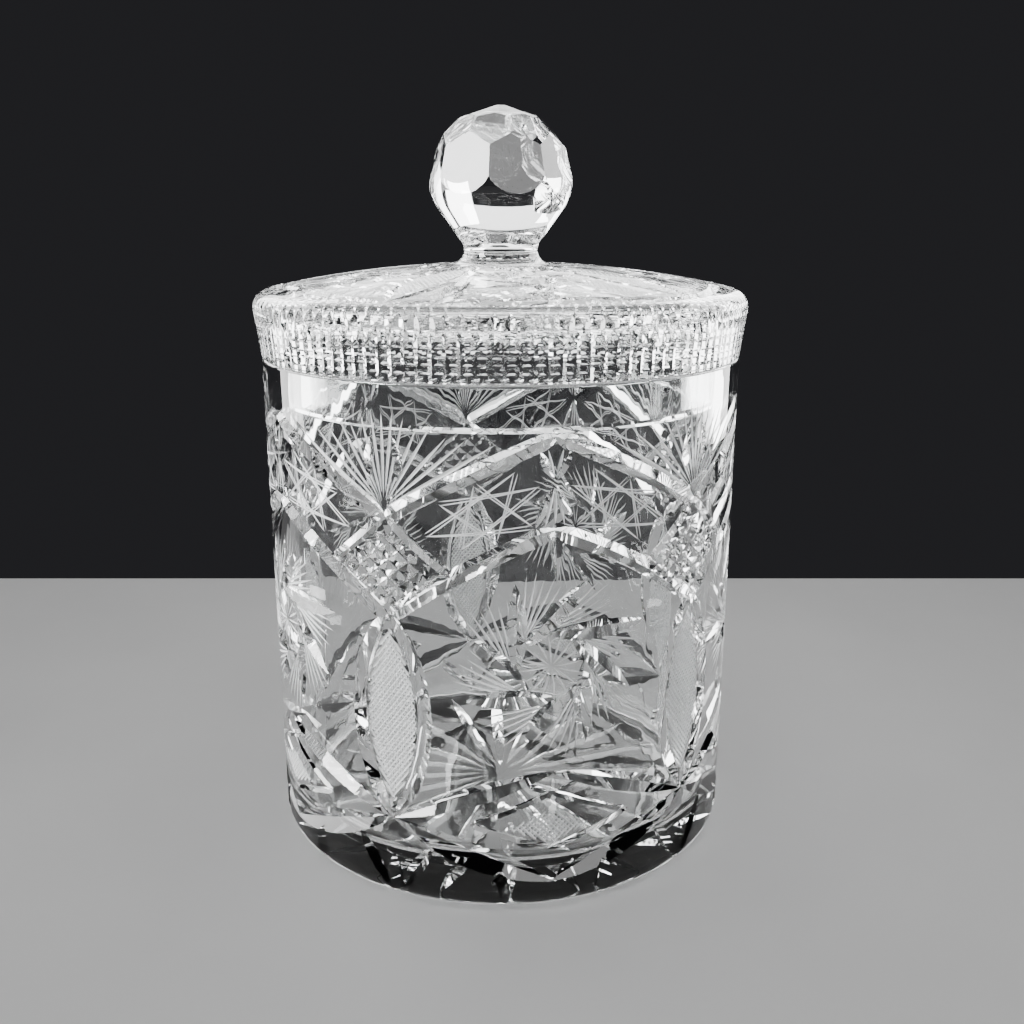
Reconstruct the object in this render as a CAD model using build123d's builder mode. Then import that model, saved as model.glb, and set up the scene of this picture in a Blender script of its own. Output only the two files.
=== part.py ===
from build123d import *

import os
from math import cos, radians, sin, tan

# Cut-crystal powder jar with a lift-off lid whose faceted knob is one piece with it.
# Millimetres. +Z is up and the origin is at the centre of the foot, on the surface it stands on.

# Jar
body_radius = 70.0
jar_height = 144.4
wall_thickness = 6.5
floor_thickness = 8.0
heel_radius = 4.5
inner_heel_radius = 9.0
lip_radius = 1.0

# Panel: a shallow pointed scoop between two pictures of the jar's cut pattern
panel_count = 5
panel_height = 55.0
panel_depth = 1.0
panel_length = 56.0
first_panel_angle = -54.0

# Lid disc
lid_corner_radius = 72.3
lid_edge_fillet = 5.0
dome_top = 169.8
dome_radius = 331.0
seat_gap = 0.8
register_depth = 13.0
register_width = 6.0
register_chamfer = 0.8
hollow_edge_height = 156.0
hollow_top = 159.5
hollow_corner_radius = 2.0

# Row of V notches ground across the lid's rounded top edge
notch_count = 115
first_notch_angle = 1.0
notch_top = (70.4, 161.3)
notch_foot = (71.25, 153.9)
notch_half_angle = 61.0
notch_cutter_reach = 1.05

# Knob: a ball with a conical underside, which flows into the lid through a small fillet
ball_centre = 192.7
ball_radius = 20.7
shoulder_radius = 13.7
taper_angle = 36.0
neck_root_radius = 7.2
neck_fillet = 3.9
crown_height = 213.1

# Knob facets: latitude above the ball's centre, distance of the flat from that centre,
# and how far the row is turned, as a share of one facet
facets_per_row = 8
facet_rows = [
    (13.0, 18.8, 0.0),
    (44.0, 19.68, 0.5),
    (71.5, 19.78, 0.0),
]
first_facet_angle = -87.5
facet_block = 30.0


def dome_height(radius):
    """Height of the lid's domed top at a distance from the axis."""
    centre_height = dome_top - dome_radius
    return centre_height + (dome_radius**2 - radius**2) ** 0.5


def radial_plane(angle, radius, height, latitude=0.0):
    """Plane whose normal points outward at an angle round the axis, tipped up by a latitude."""
    outward = Vector(
        cos(radians(latitude)) * cos(radians(angle)),
        cos(radians(latitude)) * sin(radians(angle)),
        sin(radians(latitude)),
    )
    sideways = Vector(-sin(radians(angle)), cos(radians(angle)), 0)
    origin = Vector(0, 0, height) + outward * radius
    return Plane(origin=origin, x_dir=sideways, z_dir=outward)


os.makedirs("parts", exist_ok=True)

bore_radius = body_radius - wall_thickness

# Jar blank: a straight cylinder with a rounded heel and a thick floor
with BuildPart() as jar:
    Cylinder(body_radius, jar_height, align=(Align.CENTER, Align.CENTER, Align.MIN))
    fillet(jar.edges().filter_by(GeomType.CIRCLE).sort_by(Axis.Z)[0], heel_radius)
    with BuildSketch(Plane.XY.offset(floor_thickness)) as bore_circle:
        Circle(bore_radius)
    extrude(amount=jar_height - floor_thickness, mode=Mode.SUBTRACT)
    bore_floor_edge = (
        jar.edges()
        .filter_by(GeomType.CIRCLE)
        .filter_by(lambda edge: abs(edge.radius - bore_radius) < 0.01)
        .sort_by(Axis.Z)[0]
    )
    fillet(bore_floor_edge, inner_heel_radius)
    mouth_edges = jar.edges().filter_by(GeomType.CIRCLE).group_by(Axis.Z)[-1]
    fillet(mouth_edges, lip_radius)

    # Each panel is ground by the flat rim of a large wheel whose axis lies level
    scoop_radius = (panel_length / 2) ** 2 / (2 * panel_depth)
    for panel in range(panel_count):
        angle = first_panel_angle + panel * 360 / panel_count
        wheel_centre = radial_plane(angle, body_radius - panel_depth + scoop_radius, panel_height)
        with Locations(wheel_centre * Location((0, 0, 0), (0, 90, 0))):
            Cylinder(scoop_radius, body_radius, mode=Mode.SUBTRACT)

jar.part.label = "jar"
export_step(jar.part, "parts/jar.step")

# Lid blank: the register, the flared edge, the dome and the knob in one turned profile
register_radius = bore_radius - seat_gap
register_foot = jar_height - register_depth
hollow_radius = register_radius - register_width
with BuildPart() as lid:
    with BuildSketch(Plane.XZ) as lid_profile:
        with BuildLine():
            ball = CenterArc((0, ball_centre), ball_radius, 90, -90)
            shoulder = CenterArc(
                (ball_radius - shoulder_radius, ball_centre), shoulder_radius, 0, -taper_angle
            )
            taper = Line(shoulder @ 1, (neck_root_radius, dome_height(neck_root_radius)))
            lid_corner = (lid_corner_radius, dome_height(lid_corner_radius))
            dome = RadiusArc(taper @ 1, lid_corner, dome_radius)
            underside = Polyline(
                dome @ 1,
                (body_radius, jar_height),
                (register_radius, jar_height),
                (register_radius, register_foot),
                (hollow_radius, register_foot),
                (hollow_radius, hollow_edge_height),
            )
            hollow = ThreePointArc(
                underside @ 1,
                (hollow_radius / 2, (hollow_edge_height + 3 * hollow_top) / 4),
                (0, hollow_top),
            )
            Line(hollow @ 1, ball @ 0)
        make_face()
        neck_corner = lid_profile.vertices().sort_by_distance(taper @ 1)[0]
        fillet(neck_corner, neck_fillet)
        edge_corner = lid_profile.vertices().sort_by(Axis.X)[-1]
        fillet(edge_corner, lid_edge_fillet)
        register_corners = lid_profile.vertices().group_by(Axis.Y)[0]
        chamfer(register_corners, register_chamfer)
    revolve(axis=Axis.Z)
    hollow_edge = lid.edges().filter_by_position(
        Axis.Z, hollow_edge_height - 0.1, hollow_edge_height + 0.1
    )
    fillet(hollow_edge, hollow_corner_radius)

    # V notches, each ground straight down across the edge
    foot_point = Vector(notch_foot[0], 0, notch_foot[1])
    notch_line = Vector(notch_top[0], 0, notch_top[1]) - foot_point
    notch_plane = Plane(
        origin=foot_point - notch_line * 0.25,
        x_dir=Vector(notch_line.Z, 0, -notch_line.X),
        z_dir=notch_line,
    )
    cutter_half_width = notch_cutter_reach * tan(radians(notch_half_angle))
    with BuildPart(mode=Mode.PRIVATE) as notch:
        with BuildSketch(notch_plane):
            Polygon(
                (0, 0),
                (notch_cutter_reach, cutter_half_width),
                (notch_cutter_reach, -cutter_half_width),
                align=None,
            )
        extrude(amount=notch_line.length * 1.5)
    with PolarLocations(0, notch_count, start_angle=first_notch_angle):
        add(notch.part, mode=Mode.SUBTRACT)

    # Flats of the knob, row by row, and the flat on its crown
    for latitude, distance, turn in facet_rows:
        for facet in range(facets_per_row):
            angle = first_facet_angle + (facet + turn) * 360 / facets_per_row
            with Locations(radial_plane(angle, distance, ball_centre, latitude)):
                Box(
                    facet_block,
                    facet_block,
                    facet_block,
                    align=(Align.CENTER, Align.CENTER, Align.MIN),
                    mode=Mode.SUBTRACT,
                )
    with Locations((0, 0, crown_height)):
        Box(
            facet_block,
            facet_block,
            facet_block,
            align=(Align.CENTER, Align.CENTER, Align.MIN),
            mode=Mode.SUBTRACT,
        )

lid.part.label = "lid"
export_step(lid.part, "parts/lid.step")
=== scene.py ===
"""Cut-crystal powder jar: the jar and its lid as wheel-cut glass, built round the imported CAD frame.

Shapes are worked out in millimetres and written to Blender in metres. A blank is turned from a
profile, and then every groove a cutter's wheel would grind is subtracted from it as a closed solid.
"""

from math import atan2, ceil, cos, degrees, pi, radians, sin, sqrt, tan

import bmesh
import bpy
import numpy as np
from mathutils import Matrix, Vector


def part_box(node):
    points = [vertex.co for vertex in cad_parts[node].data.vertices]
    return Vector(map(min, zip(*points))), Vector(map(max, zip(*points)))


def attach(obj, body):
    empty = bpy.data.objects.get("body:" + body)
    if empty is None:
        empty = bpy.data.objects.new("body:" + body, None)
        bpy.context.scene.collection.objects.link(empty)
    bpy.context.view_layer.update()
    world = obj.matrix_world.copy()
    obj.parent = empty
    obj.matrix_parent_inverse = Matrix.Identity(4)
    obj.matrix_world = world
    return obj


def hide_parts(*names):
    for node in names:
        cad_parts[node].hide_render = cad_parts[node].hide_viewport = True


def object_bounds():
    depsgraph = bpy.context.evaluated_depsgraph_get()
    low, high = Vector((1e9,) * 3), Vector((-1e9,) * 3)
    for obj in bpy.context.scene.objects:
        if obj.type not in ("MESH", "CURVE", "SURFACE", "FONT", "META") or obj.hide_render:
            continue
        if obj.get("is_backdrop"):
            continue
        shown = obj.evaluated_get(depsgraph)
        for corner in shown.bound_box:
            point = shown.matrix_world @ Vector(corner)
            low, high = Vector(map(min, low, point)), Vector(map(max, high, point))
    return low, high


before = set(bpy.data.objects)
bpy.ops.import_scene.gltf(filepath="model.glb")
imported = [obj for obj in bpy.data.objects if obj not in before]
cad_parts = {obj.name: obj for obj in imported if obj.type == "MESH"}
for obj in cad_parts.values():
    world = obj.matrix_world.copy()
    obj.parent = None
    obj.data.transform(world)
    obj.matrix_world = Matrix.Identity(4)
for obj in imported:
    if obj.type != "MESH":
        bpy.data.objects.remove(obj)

cad_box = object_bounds()

MM = 0.001


def millimetres(node):
    """A CAD node's lowest and highest corners in millimetres."""
    low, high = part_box(node)
    return np.array(low) / MM, np.array(high) / MM


# ---------------------------------------------------------------- sizes, in millimetres

jar_low, jar_high = millimetres("jar")
lid_low, lid_high = millimetres("lid")

BODY_RADIUS = jar_high[0]
RIM_HEIGHT = jar_high[2]
CROWN_HEIGHT = lid_high[2]
REGISTER_FOOT = lid_low[2]

WALL = 6.5
FLOOR = 8.0
HEEL_RADIUS = 4.5
INNER_HEEL_RADIUS = 9.0
LIP_RADIUS = 1.0
BORE_RADIUS = BODY_RADIUS - WALL

LID_CORNER = 72.3
EDGE_FILLET = 5.0
DOME_TOP = 169.8
DOME_RADIUS = 331.0
SEAT_AIR = 0.06
SEAT_GAP = 0.8
REGISTER_WIDTH = 6.0
REGISTER_CHAMFER = 0.8
REGISTER_RADIUS = BORE_RADIUS - SEAT_GAP
HOLLOW_RADIUS = REGISTER_RADIUS - REGISTER_WIDTH
HOLLOW_EDGE_HEIGHT = 156.0
HOLLOW_TOP = 159.5
HOLLOW_CORNER = 2.0

NOTCHES = 115
FIRST_NOTCH = 1.0
NOTCH_TOP = 161.5
NOTCH_FOOT = 154.0
NOTCH_DEPTH = 1.15
NOTCH_HALF_ANGLE = 57.0
FLUTES = 106
FLUTE_FOOT = 143.0
FLUTE_TOP = 156.0
FLUTE_ROWS = (146.2, 148.4, 150.2, 152.6)
FLUTE_OVERLAP = 3

BALL_CENTRE = 192.7
BALL_RADIUS = 20.7
SHOULDER_RADIUS = 13.7
TAPER_ANGLE = 36.0
NECK_ROOT = 7.2
NECK_FILLET = 3.9
FACETS = 8
FIRST_FACET = -87.5
FACET_ROWS = [(13.0, 18.8, 0.0), (44.0, 19.68, 0.5), (71.5, 19.78, 0.0)]
FACET_TOOL_MARGIN = 0.6
FACET_TOOL_DEPTH = 5
CROWN_TOOL_HALF = 12.0

PANELS = 5
STAR_RAYS = 20

SCOOP_HEIGHT = 55.0
SCOOP_DEPTH = 1.0
SCOOP_LENGTH = 56.0
SCOOP_RADIUS = (SCOOP_LENGTH / 2) ** 2 / (2 * SCOOP_DEPTH)
SCOOP_SWING = 4.6
SCOOP_STEPS = 40
SCOOP_TOOL_DEPTH = 8
SCOOP_TOOL_WIDTH = 50

# A cutter stands out of the glass by a little, and by a share of its depth
CUTTER_RISE = 0.08
CUTTER_RISE_SHARE = 0.15
LEAST_STEPS = 7
BOWED_SPACING = 1.2
CELL_MARGIN = 0.3

LATHE_STEPS = 240

# Places in the list of materials. The blank is 0.
POLISHED = 1
MATTE = 2
UP = np.array([0.0, 0.0, 1.0])


# ---------------------------------------------------------------- profiles and blanks

def arc(centre, radius, start, end, steps):
    """Points round a centre, from one angle to another, in degrees."""
    angles = np.radians(np.linspace(start, end, steps + 1))
    return [(centre[0] + radius * cos(a), centre[1] + radius * sin(a)) for a in angles]


def dome_height(radius):
    return DOME_TOP - DOME_RADIUS + np.sqrt(DOME_RADIUS**2 - np.square(radius))


def jar_profile():
    """Jar outline from the middle of the foot, up the outside and down the bore, as smooth runs."""
    heel = arc((BODY_RADIUS - HEEL_RADIUS, HEEL_RADIUS), HEEL_RADIUS, -90, 0, 10)
    outer_lip = arc((BODY_RADIUS - LIP_RADIUS, RIM_HEIGHT - LIP_RADIUS), LIP_RADIUS, 0, 90, 5)
    inner_lip = arc((BORE_RADIUS + LIP_RADIUS, RIM_HEIGHT - LIP_RADIUS), LIP_RADIUS, 90, 180, 5)
    inner_heel_centre = (BORE_RADIUS - INNER_HEEL_RADIUS, FLOOR + INNER_HEEL_RADIUS)
    inner_heel = arc(inner_heel_centre, INNER_HEEL_RADIUS, 0, -90, 12)
    return [[(0, 0)] + heel + outer_lip + inner_lip + inner_heel + [(0, FLOOR)]]


def lid_profile():
    """Lid outline from the middle of the hollow, out and up to the knob's crown, as smooth runs."""
    hollow_rise = HOLLOW_TOP - HOLLOW_EDGE_HEIGHT
    roof_radius = (HOLLOW_RADIUS**2 + hollow_rise**2) / (2 * hollow_rise)
    roof_centre = (0, HOLLOW_TOP - roof_radius)
    corner_x = HOLLOW_RADIUS - HOLLOW_CORNER
    corner_z = roof_centre[1] + sqrt((roof_radius - HOLLOW_CORNER) ** 2 - corner_x**2)
    corner_start = degrees(atan2(corner_z - roof_centre[1], corner_x))
    roof = arc(roof_centre, roof_radius, 90, corner_start, 16)
    corner = arc((corner_x, corner_z), HOLLOW_CORNER, corner_start, 0, 10)[1:]
    chamfer_top = REGISTER_FOOT + REGISTER_CHAMFER
    underside = roof + corner + [(HOLLOW_RADIUS, chamfer_top)]

    seat = RIM_HEIGHT + SEAT_AIR
    shoulder_centre = (BALL_RADIUS - SHOULDER_RADIUS, BALL_CENTRE)
    shoulder = arc(shoulder_centre, SHOULDER_RADIUS, 0, -TAPER_ANGLE, 8)
    taper_foot = np.array(shoulder[-1])
    root = np.array([NECK_ROOT, dome_height(NECK_ROOT)])
    fillet = neck_fillet(taper_foot, root)
    rounded = [(float(r), float(z)) for r, z in EDGE_ARC]
    dome_radii = np.linspace(rounded[-1][0], fillet[0][0], 24)
    domed = [(r, dome_height(r)) for r in dome_radii[1:-1]]
    ball = arc((0, BALL_CENTRE), BALL_RADIUS, 0, 90, 20)
    flare_foot = (BODY_RADIUS, seat)
    side = [flare_foot] + rounded + domed + fillet + shoulder[::-1] + ball[1:]

    register = [
        underside[-1],
        (HOLLOW_RADIUS + REGISTER_CHAMFER, REGISTER_FOOT),
        (REGISTER_RADIUS - REGISTER_CHAMFER, REGISTER_FOOT),
        (REGISTER_RADIUS, chamfer_top),
        (REGISTER_RADIUS, seat),
        flare_foot,
    ]
    return [underside] + [list(flat) for flat in zip(register[:-1], register[1:])] + [side]


def edge_arc():
    """Rounded top edge of the lid, from the flared side up to the dome, and its centre."""
    flare = np.array([LID_CORNER - BODY_RADIUS, dome_height(LID_CORNER) - RIM_HEIGHT])
    flare /= np.linalg.norm(flare)
    outward = np.array([flare[1], -flare[0]])
    foot = np.array([BODY_RADIUS, RIM_HEIGHT]) - outward * EDGE_FILLET
    dome_centre = np.array([0.0, DOME_TOP - DOME_RADIUS])
    offset = foot - dome_centre
    within = DOME_RADIUS - EDGE_FILLET
    reach = -offset @ flare + sqrt((offset @ flare) ** 2 - offset @ offset + within**2)
    centre = foot + flare * reach
    touch = centre - dome_centre
    start = degrees(atan2(outward[1], outward[0]))
    end = degrees(atan2(touch[1], touch[0]))
    return np.array(arc(centre, EDGE_FILLET, start, end, 12)), centre


EDGE_ARC, EDGE_CENTRE = edge_arc()


def neck_fillet(taper_foot, root):
    """Concave arc that joins the knob's taper to the dome."""
    along = taper_foot - root
    along = along / np.linalg.norm(along)
    outward = np.array([along[1], -along[0]])
    centre_radius = DOME_RADIUS + NECK_FILLET
    dome_centre = np.array([0.0, DOME_TOP - DOME_RADIUS])
    base = root + outward * NECK_FILLET - dome_centre
    reach = -base @ along + sqrt((base @ along) ** 2 - base @ base + centre_radius**2)
    centre = dome_centre + base + along * reach
    dome_touch = centre - dome_centre
    start = degrees(atan2(-dome_touch[1], -dome_touch[0]))
    end = degrees(atan2(-outward[1], -outward[0]))
    return arc(centre, NECK_FILLET, start, end - 360 if end > start else end, 8)


def run_normals(run):
    """Outward normals at the points of one smooth run, whose outside is on its right."""
    points = np.array(run, float)
    along = np.diff(points, axis=0)
    weighted = np.stack([along[:, 1], -along[:, 0]], axis=1)
    normals = np.vstack([weighted[:1], weighted[:-1] + weighted[1:], weighted[-1:]])
    return points, normals / np.linalg.norm(normals, axis=1)[:, None]


def mesh_object(name, points, faces, materials=()):
    """A Blender object from points in millimetres."""
    mesh = bpy.data.meshes.new(name)
    mesh.from_pydata((np.asarray(points) * MM).tolist(), [], faces)
    for material in materials:
        mesh.materials.append(material)
    mesh.update()
    made = bpy.data.objects.new(name, mesh)
    bpy.context.scene.collection.objects.link(made)
    return made


def lathe(name, runs, materials):
    """A closed solid turned about Z from runs that start and end on the axis."""
    outline = list(runs[0])
    for run in runs[1:]:
        outline += run[1:]
    rim = np.array(outline[1:-1], float)
    turns = np.arange(LATHE_STEPS) * 2 * pi / LATHE_STEPS
    ring = np.stack([np.sin(turns), -np.cos(turns)], axis=1)
    count = len(rim)
    points = np.concatenate([
        np.concatenate([rim[:, :1] * spoke, rim[:, 1:]], axis=1) for spoke in ring
    ])
    points = np.vstack([points, [0, 0, outline[0][1]], [0, 0, outline[-1][1]]])
    first, last = len(points) - 2, len(points) - 1
    faces = []
    for i in range(LATHE_STEPS):
        here, there = i * count, (i + 1) % LATHE_STEPS * count
        for k in range(count - 1):
            faces.append((here + k, there + k, there + k + 1, here + k + 1))
        faces.append((first, there, here))
        faces.append((last, here + count - 1, there + count - 1))
    return mesh_object(name, points, faces, materials)


# ---------------------------------------------------------------- cutters

def spoke(angle, latitude=0.0):
    """Unit vector at an angle round from -Y towards +X, tipped up by a latitude, in degrees."""
    turn, lift = radians(angle), radians(latitude)
    flat = cos(lift)
    return np.array([flat * sin(turn), -flat * cos(turn), sin(lift)])


def polar(radius, angle):
    """Point in plan, from degrees round from -Y towards +X."""
    return spoke(angle)[:2] * radius


def spokes(angle):
    """Level unit vectors at an array of angles, in radians."""
    return np.stack([np.sin(angle), -np.cos(angle), np.zeros(len(angle))], axis=1)


def wall(path):
    """Outer wall of the jar. A path holds the distance round from a panel's middle, and height."""
    angle = path[:, 0] / BODY_RADIUS
    pitch = 2 * pi / PANELS
    from_scoop = (angle + pitch) % pitch - pitch / 2
    sink = SCOOP_RADIUS - np.sqrt(SCOOP_RADIUS**2 - np.square(path[:, 1] - SCOOP_HEIGHT))
    scooped = (BODY_RADIUS - SCOOP_DEPTH + sink) / np.cos(from_scoop)
    outward = spokes(angle)
    radius = np.minimum(BODY_RADIUS, scooped)
    return outward * radius[:, None] + path[:, 1:] * UP, outward


def dome(path):
    """Top of the lid. A path holds x and y in plan."""
    radius = np.hypot(path[:, 0], path[:, 1])
    points = np.column_stack([path, dome_height(radius)])
    outward = points - np.array([0, 0, DOME_TOP - DOME_RADIUS])
    return points, outward / DOME_RADIUS


def edge(path):
    """Side and rounded edge of the lid. A path holds the distance round, and height."""
    angle = path[:, 0] / BODY_RADIUS
    height = path[:, 1]
    lean = np.arcsin(np.clip((height - EDGE_CENTRE[1]) / EDGE_FILLET, -1, 1))
    flare = atan2(EDGE_ARC[0][0] - BODY_RADIUS, EDGE_ARC[0][1] - RIM_HEIGHT)
    on_side = height < EDGE_ARC[0][1]
    lean = np.where(on_side, -flare, lean)
    side_radius = BODY_RADIUS + (height - RIM_HEIGHT) * tan(flare)
    radius = np.where(on_side, side_radius, EDGE_CENTRE[0] + EDGE_FILLET * np.cos(lean))
    around = spokes(angle)
    outward = around * np.cos(lean)[:, None] + UP * np.sin(lean)[:, None]
    return around * radius[:, None] + height[:, None] * UP, outward


def flange_bore(path):
    """Inner wall of the lid's rim. A path holds the distance round, and height."""
    around = spokes(path[:, 0] / HOLLOW_RADIUS)
    return around * HOLLOW_RADIUS + path[:, 1:] * UP, -around


def foot(path):
    """Underside of the jar. A path holds x and y in plan."""
    return np.column_stack([path, np.zeros(len(path))]), np.tile(-UP, (len(path), 1))


def groove(
    surface, start, end, depth, half_angle=50.0, finish=POLISHED, bow=0.0, runout=None, spacing=3.0
):
    """One pass of a V-edged wheel, as a closed cutter.

    The visible cut runs from start to end, bowed sideways to its left by bow. It keeps its depth
    but for a run-out at each end; without one it is a leaf, deepest in the middle.
    """
    start, end = np.array(start, float), np.array(end, float)
    chord = end - start
    length = np.linalg.norm(chord)
    side = np.array([-chord[1], chord[0]]) / length
    rise = CUTTER_RISE + CUTTER_RISE_SHARE * depth
    share = 0.5 if runout is None else min(0.5, runout / length)
    stretch = share * (sqrt(1 + rise / depth) - 1)
    count = max(LEAST_STEPS, int(ceil(length / (BOWED_SPACING if bow else spacing))) + 3)
    t = np.linspace(-stretch, 1 + stretch, count)
    path = start + np.outer(t, chord) + np.outer(4 * bow * t * (1 - t), side)
    short_of_full = np.clip(share - np.minimum(t, 1 - t), 0, None) / share
    depths = depth * (1 - short_of_full**2)
    points, outward = surface(path)
    along = np.gradient(points, axis=0)
    across = np.cross(outward, along)
    across /= np.linalg.norm(across, axis=1)[:, None]
    half_width = (depths + rise) * tan(radians(half_angle))
    crest = points + outward * rise
    sections = np.stack([
        points - outward * depths[:, None],
        crest + across * half_width[:, None],
        crest - across * half_width[:, None],
    ], axis=1)
    sections[0] = crest[0]
    sections[-1] = crest[-1]
    cells = footprint(path, half_width, surface is wall)
    return {"sections": sections, "finish": finish, "cells": cells}


def footprint(path, half_width, wraps):
    """The 1 mm cells of the surface that a cutter covers."""
    cells = set()
    around = round(2 * pi * BODY_RADIUS)
    for i in range(len(path) - 1):
        steps = int(np.linalg.norm(path[i + 1] - path[i])) + 2
        for s in np.linspace(0, 1, steps):
            spot = path[i] * (1 - s) + path[i + 1] * s
            reach = half_width[i] * (1 - s) + half_width[i + 1] * s + CELL_MARGIN
            low = np.floor(spot - reach).astype(int)
            high = np.floor(spot + reach).astype(int) + 1
            for x in range(low[0], high[0]):
                for y in range(low[1], high[1]):
                    cells.add((x % around if wraps else x, y))
    return cells


def batches(cutters):
    """Cutters sorted into groups in which none touches another."""
    groups = []
    for cutter in cutters:
        for group in groups:
            if group["cells"].isdisjoint(cutter["cells"]):
                break
        else:
            group = {"cells": set(), "cutters": []}
            groups.append(group)
        group["cells"] |= cutter["cells"]
        group["cutters"].append(cutter)
    return [group["cutters"] for group in groups]


def skin(sections, offset):
    """Triangles between rings of points, with both ends closed. A ring may shrink to one point."""
    rings, size = sections.shape[:2]
    index = offset + np.arange(rings * size).reshape(rings, size)
    shrunk = [np.ptp(ring, axis=0).max() < 1e-9 for ring in sections]
    for i in range(rings):
        if shrunk[i]:
            index[i] = index[i, 0]
    faces = []
    for here, there in zip(index[:-1], index[1:]):
        for k in range(size):
            n = (k + 1) % size
            if here[k] != here[n]:
                faces.append((here[k], here[n], there[n]))
            if there[k] != there[n]:
                faces.append((here[k], there[n], there[k]))
    if not shrunk[0]:
        faces.append(tuple(index[0, ::-1]))
    if not shrunk[-1]:
        faces.append(tuple(index[-1]))
    return [tuple(int(v) for v in face) for face in faces]


def subtract(target, cutters):
    """Grinds a group of cutters out of the target; the cut faces take each cutter's finish."""
    points, faces, finishes = [], [], []
    offset = 0
    for cutter in cutters:
        sections = cutter["sections"]
        made = skin(sections, offset)
        faces += made
        finishes += [cutter["finish"]] * len(made)
        points.append(sections.reshape(-1, 3))
        offset += sections.shape[0] * sections.shape[1]
    tool = mesh_object("wheel", np.vstack(points), faces, target.data.materials)
    tool.data.polygons.foreach_set("material_index", finishes)
    bm = bmesh.new()
    bm.from_mesh(tool.data)
    bmesh.ops.delete(bm, geom=[v for v in bm.verts if not v.link_faces], context="VERTS")
    bm.to_mesh(tool.data)
    bm.free()
    cut = target.modifiers.new("cut", "BOOLEAN")
    cut.operation = "DIFFERENCE"
    cut.solver = "MANIFOLD"
    cut.object = tool
    cut.material_mode = "TRANSFER"
    depsgraph = bpy.context.evaluated_depsgraph_get()
    result = bpy.data.meshes.new_from_object(target.evaluated_get(depsgraph))
    target.modifiers.clear()
    blank = target.data
    target.data = result
    bpy.data.meshes.remove(blank)
    bpy.data.meshes.remove(tool.data)


def prism(ring, along):
    """Cutter of one section, swept straight."""
    ring = np.array(ring, float)
    return {"sections": np.stack([ring, ring + along]), "finish": POLISHED}


def ground(target, groups):
    """Grinds one group of cutters after another out of the target."""
    for group in groups:
        subtract(target, group)


# ---------------------------------------------------------------- the jar's cuts

JOINT = 180 / PANELS
SIDES = (-1, 1)
STAR_TIPS = [
    (-3.0, 119.3), (-8.0, 123.3), (-16.5, 120.0), (-24.0, 114.7),
    (-27.0, 106.0), (-19.5, 102.8), (-12.0, 105.2), (-4.5, 109.0),
]
STAR_SKIP = 3
STAR_LINE_GAP = 0.5
FAN_HUB = 112.6
FAN_TIPS = [
    (-12, 130), (-15, 127.5), (-18, 131), (-22, 131.5),
    (-25, 134.5), (-28, 134), (-31, 136), (-33.5, 137),
]
PINWHEEL = (-0.5, 71.5)
PINWHEEL_LEAVES = 8
LEAF_OFFSET = 9.8
LEAF_LENGTH = 25.5
FIRST_LEAF_LENGTH = 29.5
HATCH_STEP = 0.25
SHORTEST_HATCH = 2.0
FOOT_STAR_REACH = 60


def at(angle, height):
    """Point on the wall, from degrees round from a panel's middle."""
    return np.array([radians(angle) * BODY_RADIUS, height])


def way(turn):
    """Unit vector in a flat pattern, at an angle in radians."""
    return np.array([cos(turn), sin(turn)])


def hatch(surface, centre, axis, outline, pitch, slant, depth, half_angle, finish):
    """Crossing parallel grooves over a patch.

    The patch lies along an axis. Its outline gives half its width at a share of its half length.
    """
    half_length, half_width = outline
    axis = np.array(axis, float) / np.linalg.norm(axis)
    aside = np.array([-axis[1], axis[0]])
    made = []
    for turn in (slant, -slant):
        along = way(radians(turn))
        over = np.array([-along[1], along[0]])
        reach = half_length + half_width(0)
        for step in np.arange(-reach, reach, pitch) + pitch / 2:
            t = np.arange(-reach, reach, HATCH_STEP)
            line = np.outer(t, along) + over * step
            inside = np.abs(line[:, 0]) < half_length
            share = np.clip(np.abs(line[:, 0]) / half_length, 0, 1)
            inside &= np.abs(line[:, 1]) < np.where(inside, half_width(share), 0)
            if inside.sum() * HATCH_STEP < SHORTEST_HATCH:
                continue
            ends = line[inside][[0, -1]]
            start, end = [centre + axis * e[0] + aside * e[1] for e in ends]
            made.append(groove(surface, start, end, depth, half_angle, finish, runout=0.8))
    return made


def wall_cut(start, end, depth, half_angle=50.0, finish=POLISHED, **course):
    return groove(wall, start, end, depth, half_angle, finish, **course)


def arches():
    """Upper and lower arches, and the lines that close the lozenge at each joint."""
    for side in SIDES:
        upper = at(side * 36.5, 109.6), at(side * -0.6, 131.9)
        lower = at(side * 36.8, 82.0), at(side * -0.8, 108.2)
        lozenge = at(JOINT + side * 0.5, 110.3), at(JOINT + side * 14.5, 96.2)
        yield wall_cut(*upper, 2.15, 45, bow=-side * 1.0, runout=5)
        yield wall_cut(*lower, 2.2, 46, bow=-side * 2.3, runout=6)
        yield wall_cut(*lozenge, 1.15, 50, bow=side * -0.5, runout=3)


def hobnail():
    """Crossing grooves that leave small pyramids in the lozenge."""
    rows = 5
    for side in SIDES:
        for n in range(1, rows):
            share = n / rows
            start = (1 - share) * at(JOINT, 108.5) + share * at(JOINT - side * 13.0, 96.5)
            end = (1 - share) * at(JOINT + side * 13.0, 95.0) + share * at(JOINT, 84.5)
            yield wall_cut(start, end, 0.95, 57, runout=2.0)


def middle_fan():
    """Narrow fan at the panel's middle, between the arches."""
    for side in SIDES:
        yield wall_cut(at(side * 3.4, 128.2), at(side * 0.35, 120.8), 0.9, 52)
        yield wall_cut(at(side * 0.2, 119.5), at(side * 4.2, 108.4), 0.9, 52)
        yield wall_cut(at(side * 1.6, 128.6), at(side * 0.2, 121.2), 0.35, 50, MATTE)
        yield wall_cut(at(side * 0.15, 119.2), at(side * 2.1, 108.8), 0.35, 50, MATTE)
    yield wall_cut(at(0, 118.8), at(0, 109.6), 0.4, 50, MATTE)


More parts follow.
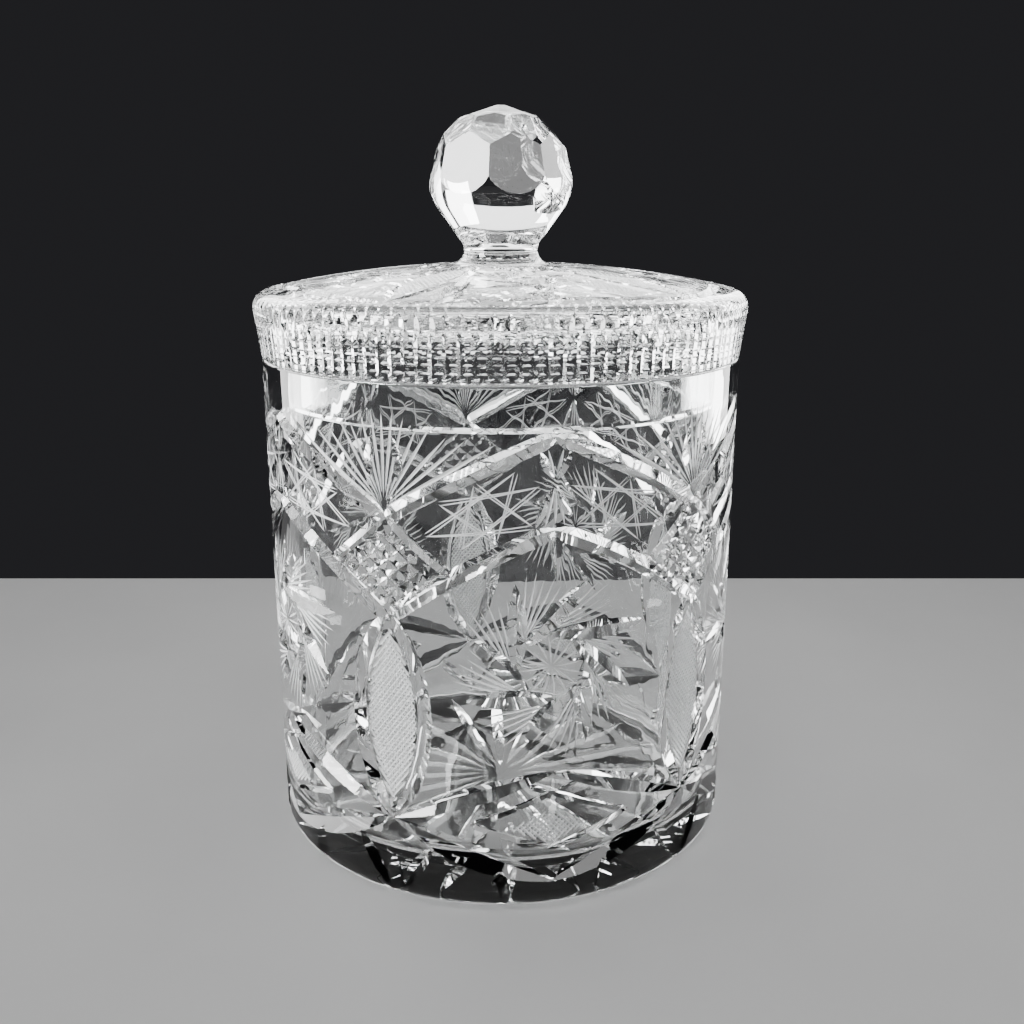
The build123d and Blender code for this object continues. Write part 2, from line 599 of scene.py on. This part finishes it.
def stars():
    """Eight-pointed star of double matte lines on each side, between the arches."""
    for side in SIDES:
        tips = [at(-side * abs(angle), height) for angle, height in STAR_TIPS]
        for k, tip in enumerate(tips):
            end = tips[(k + STAR_SKIP) % len(tips)]
            along = (end - tip) / np.linalg.norm(end - tip)
            aside = np.array([-along[1], along[0]]) * STAR_LINE_GAP
            yield wall_cut(tip, end + aside, 0.15, 50, MATTE, runout=3)
            yield wall_cut(tip, end - aside, 0.15, 50, MATTE, runout=3)


def joint_fan():
    """Fan above each joint: matte rays, with polished leaves among them."""
    hub = at(JOINT, FAN_HUB)
    for side in SIDES:
        for n, (angle, height) in enumerate(FAN_TIPS):
            tip = at(JOINT + side * (JOINT + angle), height)
            start = hub + (tip - hub) * (2.0 + 1.6 * (n % 2)) / np.linalg.norm(tip - hub)
            yield wall_cut(start, tip, 0.34, 52, MATTE)
        yield wall_cut(at(JOINT + side * 3.3, 119.5), at(JOINT + side * 3.6, 127.0), 1.1, 54)
        yield wall_cut(at(JOINT + side * 4.6, 121.0), at(JOINT + side * 2.2, 131.2), 0.9, 54)
    yield wall_cut(hub + (0, 2.5), at(JOINT, 137.0), 0.34, 52, MATTE)


def pinwheel():
    """Leaves that lean round a small star, each with a fan of matte rays."""
    centre = at(*PINWHEEL)
    for k in range(PINWHEEL_LEAVES):
        turned_by = 360 / PINWHEEL_LEAVES * k
        start = centre + LEAF_OFFSET * way(radians(105 - turned_by))
        heading = radians(-turned_by)
        length = FIRST_LEAF_LENGTH if k == 0 else LEAF_LENGTH
        yield wall_cut(start, start + length * way(heading), 1.95, 55, bow=-0.6)
        for ray in range(6):
            out = way(heading + radians(5.5 + 6.8 * ray))
            inner, outer = 1.2 + 1.3 * (ray % 2), 21.5 - 1.4 * (ray % 2)
            yield wall_cut(start + out * inner, start + out * outer, 0.3, 52, MATTE)
    for ray in range(16):
        out = way(radians(22.5 * ray + 6))
        inner = 0.7 + 1.1 * (ray % 2)
        yield wall_cut(centre + out * inner, centre + out * 8.6, 0.26, 50, MATTE)


def oval():
    """Pointed oval at each joint: its border, and fine hatching inside."""
    for side in SIDES:
        yield wall_cut(at(JOINT, 85.3), at(JOINT, 24.8), 1.9, 47, bow=side * 9.6, runout=9)
    outline = (25.5, lambda share: 7.7 * (1 - share**2))
    yield from hatch(wall, at(JOINT, 55), (0, 1), outline, 1.15, 38, 0.32, 52, MATTE)


def panel_foot():
    """Long leaves, hatched diamond and short heel cuts along the panel's foot."""
    for side in SIDES:
        long_leaf = at(side * 36.2, 24.8), at(side * -1.5, 41.8)
        lower_leaf = at(side * 36.3, 25.2), at(side * -1.2, 8.2)
        yield wall_cut(*long_leaf, 2.0, 55, bow=-side * 1.2)
        yield wall_cut(at(side * 18.5, 25.8), at(side * -0.8, 35.8), 0.8, 50, runout=3)
        yield wall_cut(at(side * 18.5, 26.4), at(side * -0.8, 18.4), 0.8, 50, runout=3)
        yield wall_cut(*lower_leaf, 2.45, 58)
        yield wall_cut(at(side * 6.0, 38.0), at(side * 0.8, 35.4), 0.8, 50)
        yield wall_cut(at(side * 26, 19.5), at(side * 35, 2.5), 1.6, 52)
    outline = (11.8, lambda share: 5.4 * (1 - share))
    yield from hatch(wall, at(-0.5, 25.2), (1, 0), outline, 1.15, 45, 0.25, 52, MATTE)
    for angle in (-11.5, 12.5, JOINT):
        yield wall_cut(at(angle, 14.5), at(angle, -5.5), 2.5, 48)


def panel_cuts():
    """Every cut of one panel, about its middle, and of the joint between it and the next."""
    motifs = (arches, hobnail, middle_fan, stars, joint_fan, pinwheel, oval, panel_foot)
    return [cut for motif in motifs for cut in motif()]


def turned(cutter, panel):
    """The same cutter on another panel."""
    angle = 2 * pi * panel / PANELS
    spin = np.array([[cos(angle), -sin(angle), 0], [sin(angle), cos(angle), 0], [0, 0, 1]])
    around = round(2 * pi * BODY_RADIUS)
    shift = int(2 * pi * BODY_RADIUS / PANELS * panel // 1)
    cells = {((x + d) % around, y) for x, y in cutter["cells"] for d in (shift, shift + 1)}
    return {"sections": cutter["sections"] @ spin.T, "finish": cutter["finish"], "cells": cells}


def wall_cuts():
    one = panel_cuts()
    return [turned(cutter, panel) for cutter in one for panel in range(PANELS)]


def foot_star():
    """Star of long leaves under the jar, every other one starting nearer the middle."""
    made = []
    for ray in range(STAR_RAYS):
        angle = 360 / STAR_RAYS * (ray + 0.5)
        start = polar(3.5 if ray % 2 else 5.5, angle)
        made.append(groove(foot, start, polar(FOOT_STAR_REACH, angle), 1.5, 55))
    return made


def scoops():
    """Broad hollow of each pointed oval, ground by the flat rim of a large wheel."""
    made = []
    swing = np.radians(np.linspace(-SCOOP_SWING, SCOOP_SWING, SCOOP_STEPS + 1))
    for panel in range(PANELS):
        angle = 360 / PANELS * (panel + 0.5)
        outward, aside = spoke(angle), spoke(angle + 90)
        hub = outward * (BODY_RADIUS - SCOOP_DEPTH + SCOOP_RADIUS) + UP * SCOOP_HEIGHT
        ring = [hub - outward * SCOOP_RADIUS * cos(a) + UP * SCOOP_RADIUS * sin(a) for a in swing]
        ring.append(ring[-1] + outward * SCOOP_TOOL_DEPTH)
        ring.append(ring[0] + outward * SCOOP_TOOL_DEPTH)
        ring = np.array(ring) - aside * SCOOP_TOOL_WIDTH / 2
        made.append(prism(ring, aside * SCOOP_TOOL_WIDTH))
    return made


# ---------------------------------------------------------------- the lid's cuts

def notches():
    """Row of V notches across the lid's rounded top edge."""
    made = []
    for n in range(NOTCHES):
        around = radians(FIRST_NOTCH + 90 + n * 360 / NOTCHES) * BODY_RADIUS
        start, end = (around, NOTCH_FOOT), (around, NOTCH_TOP)
        made.append(groove(edge, start, end, NOTCH_DEPTH, NOTCH_HALF_ANGLE, spacing=0.9))
    return made


def rim_flutes():
    """Fine upright and level grooves inside the lid's rim, which make a grid of small squares."""
    upright, level = [], []
    for n in range(FLUTES):
        around = 2 * pi * HOLLOW_RADIUS * n / FLUTES
        start, end = (around, FLUTE_FOOT), (around, FLUTE_TOP)
        upright.append(groove(flange_bore, start, end, 0.4, 68, runout=1.5))
    quarter_turn = pi / 2 * HOLLOW_RADIUS
    for height in FLUTE_ROWS:
        for quarter in range(4):
            start = quarter_turn * quarter
            end = start + quarter_turn + FLUTE_OVERLAP
            level.append(groove(flange_bore, (start, height), (end, height), 0.22, 66, runout=3))
    return [upright[::2], upright[1::2], level[::2], level[1::2]]


def facets():
    """Flats of the knob, one cutter each, and its crown."""
    made = []
    corners = ((1, 1), (-1, 1), (-1, -1), (1, -1))
    for latitude, distance, turn in FACET_ROWS:
        for facet in range(FACETS):
            angle = FIRST_FACET + 90 + (facet + turn) * 360 / FACETS
            out, aside = spoke(angle, latitude), spoke(angle + 90)
            over = np.cross(out, aside)
            base = out * distance + UP * BALL_CENTRE
            half = sqrt(BALL_RADIUS**2 - distance**2) + FACET_TOOL_MARGIN
            ring = [base + aside * a * half + over * b * half for a, b in corners]
            made.append(prism(ring, out * FACET_TOOL_DEPTH))
    ring = [(a * CROWN_TOOL_HALF, b * CROWN_TOOL_HALF, CROWN_HEIGHT) for a, b in corners]
    made.append(prism(ring, UP * FACET_TOOL_DEPTH))
    return made


def dome_cut(start, end, depth, half_angle=50.0, finish=POLISHED, **course):
    return groove(dome, start, end, depth, half_angle, finish, **course)


def lid_pinwheel(middle):
    """Leaves round a point on the lid's top, each with a fan of matte rays."""
    centre = polar(41.5, middle)
    for k in range(PINWHEEL_LEAVES):
        angle = middle + 360 // PINWHEEL_LEAVES * k + 8
        start = centre + 5.2 * way(radians(angle + 100))
        yield dome_cut(start, start + way(radians(angle)) * 15.5, 1.15, 56)
        for ray in range(4):
            out = way(radians(angle + 9 + 8.5 * ray))
            yield dome_cut(start + out * (1 + 1.1 * (ray % 2)), start + out * 13, 0.27, 50, MATTE)


def lid_oval(joint):
    """Hatched oval along a spoke of the lid, with leaves and a matte fan on each side."""
    for side in SIDES:
        border = polar(16.5, joint), polar(66, joint)
        outer_leaf = polar(66.6, joint + side * 1.0), polar(61.5, joint + side * 34.5)
        inner_leaf = polar(18, joint + side * 6), polar(28, joint + side * 34)
        yield dome_cut(*border, 1.0, 52, bow=side * 6.6, runout=8)
        yield dome_cut(*outer_leaf, 1.2, 52, bow=-side * 2.2, runout=5)
        yield dome_cut(*inner_leaf, 0.9, 54, bow=side * 1.2)
        for ray in range(6):
            spread = side * (4.0 + 5.2 * ray)
            start = polar(64.3 - 0.4 * ray, joint + spread * 0.75)
            end = polar(55.5 - ray * 0.3, joint + spread * 1.02)
            yield dome_cut(start, end, 0.3, 50, MATTE)
    outline = (20, lambda share: 4.9 * (1 - share**2))
    yield from hatch(dome, polar(41.5, joint), polar(1, joint), outline, 1.3, 40, 0.24, 52, MATTE)


def lid_top_cuts():
    """Pinwheels between radial hatched ovals, all round the lid's top."""
    cuts = []
    for sector in range(PANELS):
        middle = 360 / PANELS * sector
        cuts.extend(lid_pinwheel(middle))
        cuts.extend(lid_oval(middle + JOINT))
        for leaf in range(7):
            angle = middle + (leaf - 3) * 8.6
            cuts.append(dome_cut(polar(68.0, angle), polar(62.9, angle + 2.0), 0.75, 56))
        for ray in range(-2, 3):
            start, end = polar(16.5, middle + ray * 9), polar(27.5, middle + ray * 6)
            cuts.append(dome_cut(start, end, 0.5, 54))
    return cuts


# ---------------------------------------------------------------- finish and smooth shading

SHARP_ANGLE = 17
FACE_AREA_WEIGHT = 80
FACES_AT_ONCE = 4000


def read(collection, attribute, width=1, kind=np.float64):
    """One attribute of every item in a mesh collection, as an array."""
    values = np.empty(len(collection) * width, kind)
    collection.foreach_get(attribute, values)
    return values.reshape(-1, width) if width > 1 else values


def weighted_normals(target):
    """Corner normals in which large faces count for more than the slivers round a cut."""
    weighting = target.modifiers.new("weighting", "WEIGHTED_NORMAL")
    weighting.mode = "FACE_AREA"
    weighting.weight = FACE_AREA_WEIGHT
    weighting.keep_sharp = True
    depsgraph = bpy.context.evaluated_depsgraph_get()
    weighted = target.evaluated_get(depsgraph).data
    normals = read(weighted.corner_normals, "vector", 3, np.float32).astype(float)
    target.modifiers.clear()
    return normals


def profile_segments(runs):
    """Starts and ends of a profile's segments, and the normals there."""
    starts, ends, start_normals, end_normals = [], [], [], []
    for run in runs:
        spots, normals = run_normals(run)
        starts.append(spots[:-1])
        ends.append(spots[1:])
        start_normals.append(normals[:-1])
        end_normals.append(normals[1:])
    return [np.vstack(each) for each in (starts, ends, start_normals, end_normals)]


def shade(target, runs):
    """Smooth cut faces that meet at small angles, and give what is left of the blank the profile's
    own normals."""
    mesh = target.data
    mesh.polygons.foreach_set("use_smooth", [True] * len(mesh.polygons))
    mesh.set_sharp_from_angle(angle=radians(SHARP_ANGLE))
    points = read(mesh.vertices, "co", 3) / MM
    finish = read(mesh.polygons, "material_index", kind=np.int32)
    sizes = read(mesh.polygons, "loop_total", kind=np.int32)
    corners = read(mesh.loops, "vertex_index", kind=np.int32)
    owner = np.repeat(np.arange(len(sizes)), sizes)
    radial = np.column_stack([np.hypot(points[:, 0], points[:, 1]), points[:, 2]])
    middle = np.zeros((len(sizes), 2))
    np.add.at(middle, owner, radial[corners])
    middle /= sizes[:, None]

    # Each face of the blank belongs to the profile's nearest segment
    starts, ends, start_normals, end_normals = profile_segments(runs)
    spans = ends - starts
    lengths = (spans**2).sum(1)
    blank = np.flatnonzero(finish == 0)
    nearest = np.zeros(len(sizes), np.int32)
    for part in np.array_split(blank, max(1, len(blank) // FACES_AT_ONCE)):
        away = middle[part, None] - starts
        share = np.clip((away * spans).sum(2) / lengths, 0, 1)
        gap = ((away - share[..., None] * spans) ** 2).sum(2)
        nearest[part] = gap.argmin(1)

    custom = weighted_normals(target)
    on_blank = finish[owner] == 0
    segment = nearest[owner[on_blank]]
    vertex = corners[on_blank]
    along = ((radial[vertex] - starts[segment]) * spans[segment]).sum(1) / lengths[segment]
    share = np.clip(along, 0, 1)[:, None]
    flat = start_normals[segment] * (1 - share) + end_normals[segment] * share
    around = points[vertex, :2] / np.maximum(radial[vertex, :1], 1e-6)
    normal = np.column_stack([around * flat[:, :1], flat[:, 1]])
    custom[on_blank] = normal / np.linalg.norm(normal, axis=1)[:, None]
    mesh.normals_split_custom_set(custom.tolist())


# ---------------------------------------------------------------- materials

def node(tree, kind, **inputs):
    made = tree.nodes.new(kind)
    for name, value in inputs.items():
        made.inputs[name.replace("_", " ")].default_value = value
    return made


def mottled(name, roughness, tones, grain, detail, drawn=1.0):
    """Material that varies between two tones, with its tree, shader and noise.

    Grain is the size of the variation in 1/m, and drawn is how much it is stretched upright.
    """
    material = bpy.data.materials.new(name)
    material.use_nodes = True
    tree = material.node_tree
    shader = tree.nodes["Principled BSDF"]
    shader.inputs["Roughness"].default_value = roughness
    place = tree.nodes.new("ShaderNodeTexCoord")
    stretch = node(tree, "ShaderNodeMapping", Scale=(1, 1, 1 / drawn))
    noise = node(tree, "ShaderNodeTexNoise", Scale=grain, Detail=detail)
    ramp = tree.nodes.new("ShaderNodeValToRGB")
    for element, tone in zip(ramp.color_ramp.elements, tones):
        element.color = (*tone, 1)
    tree.links.new(place.outputs["Object"], stretch.inputs["Vector"])
    tree.links.new(stretch.outputs["Vector"], noise.inputs["Vector"])
    tree.links.new(noise.outputs["Fac"], ramp.inputs["Fac"])
    tree.links.new(ramp.outputs["Color"], shader.inputs["Base Color"])
    return material, shader, noise, ramp


def glass(name, transmission, roughness, tones, grain, bump, drawn=1.0):
    """Crystal with a little unevenness, as deep as bump, in metres."""
    material, shader, noise, ramp = mottled(name, roughness, tones, grain, 3.0, drawn)
    for element, position in zip(ramp.color_ramp.elements, (0.3, 0.7)):
        element.position = position
    shader.inputs["Transmission Weight"].default_value = transmission
    shader.inputs["IOR"].default_value = CRYSTAL_IOR
    tree = material.node_tree
    relief = node(tree, "ShaderNodeBump", Strength=1.0, Distance=bump)
    tree.links.new(noise.outputs["Fac"], relief.inputs["Height"])
    tree.links.new(relief.outputs["Normal"], shader.inputs["Normal"])
    return material


CRYSTAL_IOR = 1.545
CLEAR = ((0.965, 0.975, 0.975), (0.985, 0.99, 0.99))
FROST = ((0.80, 0.815, 0.82), (0.95, 0.96, 0.96))
FLOOR_TONES = ((0.62, 0.62, 0.62), (0.7, 0.7, 0.7))
crystal = [
    glass("fire_polished_crystal", 1.0, 0.0, CLEAR, 55.0, 0.00022, drawn=4.0),
    glass("polished_cut", 1.0, 0.015, CLEAR, 60.0, 0.00006),
    glass("matte_cut", 0.45, 0.5, FROST, 900.0, 0.0001),
]

# ---------------------------------------------------------------- pieces

jar_runs = jar_profile()
lid_runs = lid_profile()
jar = lathe("jar_glass", jar_runs, crystal)
ground(jar, [scoops()])
ground(jar, batches(wall_cuts()))
ground(jar, batches(foot_star()))
shade(jar, jar_runs)
lid = lathe("lid_glass", lid_runs, crystal)
ground(lid, [notches()[::2], notches()[1::2]] + rim_flutes())
ground(lid, [[facet] for facet in facets()])
ground(lid, batches(lid_top_cuts()))
shade(lid, lid_runs)

for piece, body in ((jar, "jar"), (lid, "lid")):
    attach(piece, body)
    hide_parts(body)

# ---------------------------------------------------------------- stage, light and camera

CAMERA_PLACE = (-63.3, -325.9, 185.5)
CAMERA_HEADING = 11.56
CAMERA_PITCH = 15.45
CAMERA_LENS = 38.84765625
FLOOR_SIDE = 900
FLOOR_FRONT = 700
FLOOR_BACK = 210

glass_only = bpy.data.collections.new("glass_only")
glass_only.objects.link(jar)
glass_only.objects.link(lid)

heading = radians(CAMERA_HEADING)
floor_corners = [
    (-FLOOR_SIDE, -FLOOR_FRONT), (FLOOR_SIDE, -FLOOR_FRONT),
    (FLOOR_SIDE, FLOOR_BACK), (-FLOOR_SIDE, FLOOR_BACK),
]
floor = mesh_object(
    "floor",
    [
        (x * cos(heading) + y * sin(heading), y * cos(heading) - x * sin(heading), 0)
        for x, y in floor_corners
    ],
    [(0, 1, 2, 3)],
    [mottled("pale_floor", 0.55, FLOOR_TONES, 14.0, 4.0)[0]],
)
floor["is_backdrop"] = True

world = bpy.data.worlds.new("dim_room")
world.use_nodes = True
world.node_tree.nodes["Background"].inputs["Color"].default_value = (0.018, 0.018, 0.02, 1)
bpy.context.scene.world = world


def softbox(name, azimuth, height, distance, width, tall, power, aim=90.0, everything=False):
    """Area light at an azimuth round from -Y towards +X, aimed at a height on the object's axis.
    The floor is kept out of it unless it lights everything."""
    lamp = bpy.data.lights.new(name, "AREA")
    lamp.shape = "RECTANGLE"
    lamp.size = width * MM
    lamp.size_y = tall * MM
    lamp.energy = power
    made = bpy.data.objects.new(name, lamp)
    spot = spoke(azimuth) * distance + UP * height
    made.location = spot * MM
    towards = Vector((UP * aim - spot).tolist())
    made.rotation_euler = towards.to_track_quat("-Z", "Y").to_euler()
    made.visible_camera = False
    if not everything:
        made.light_linking.receiver_collection = glass_only
    bpy.context.scene.collection.objects.link(made)


softbox("rear_wall", 180, 760, 1000, 1700, 760, 13, aim=150)
softbox("window_left", -75, 640, 900, 330, 460, 26)
softbox("window_right", 16, 700, 1000, 420, 420, 3)
softbox("side_left", -118, 300, 700, 400, 700, 8)
softbox("side_right", 108, 300, 700, 400, 700, 8)
softbox("back_left", -150, 420, 800, 300, 500, 4)
softbox("back_right", 140, 420, 800, 300, 500, 4)
softbox("ceiling", 0, 1000, 10, 800, 800, 8, everything=True)

# Light crosses many surfaces inside cut glass
cycles = bpy.context.scene.cycles
cycles.max_bounces = 32
cycles.transmission_bounces = 28
cycles.glossy_bounces = 12
cycles.diffuse_bounces = 4

camera_data = bpy.data.cameras.new("camera")
camera_data.sensor_width = 36.0
camera_data.lens = CAMERA_LENS
camera_data.clip_start = 0.01
camera = bpy.data.objects.new("camera", camera_data)
camera.location = [coordinate * MM for coordinate in CAMERA_PLACE]
camera.rotation_euler = (radians(90 - CAMERA_PITCH), 0, radians(-CAMERA_HEADING))
bpy.context.scene.collection.objects.link(camera)
bpy.context.scene.camera = camera

bounds = {"cad": cad_box, "visual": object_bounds()}
{name: [list(corner) for corner in box] for name, box in bounds.items()}
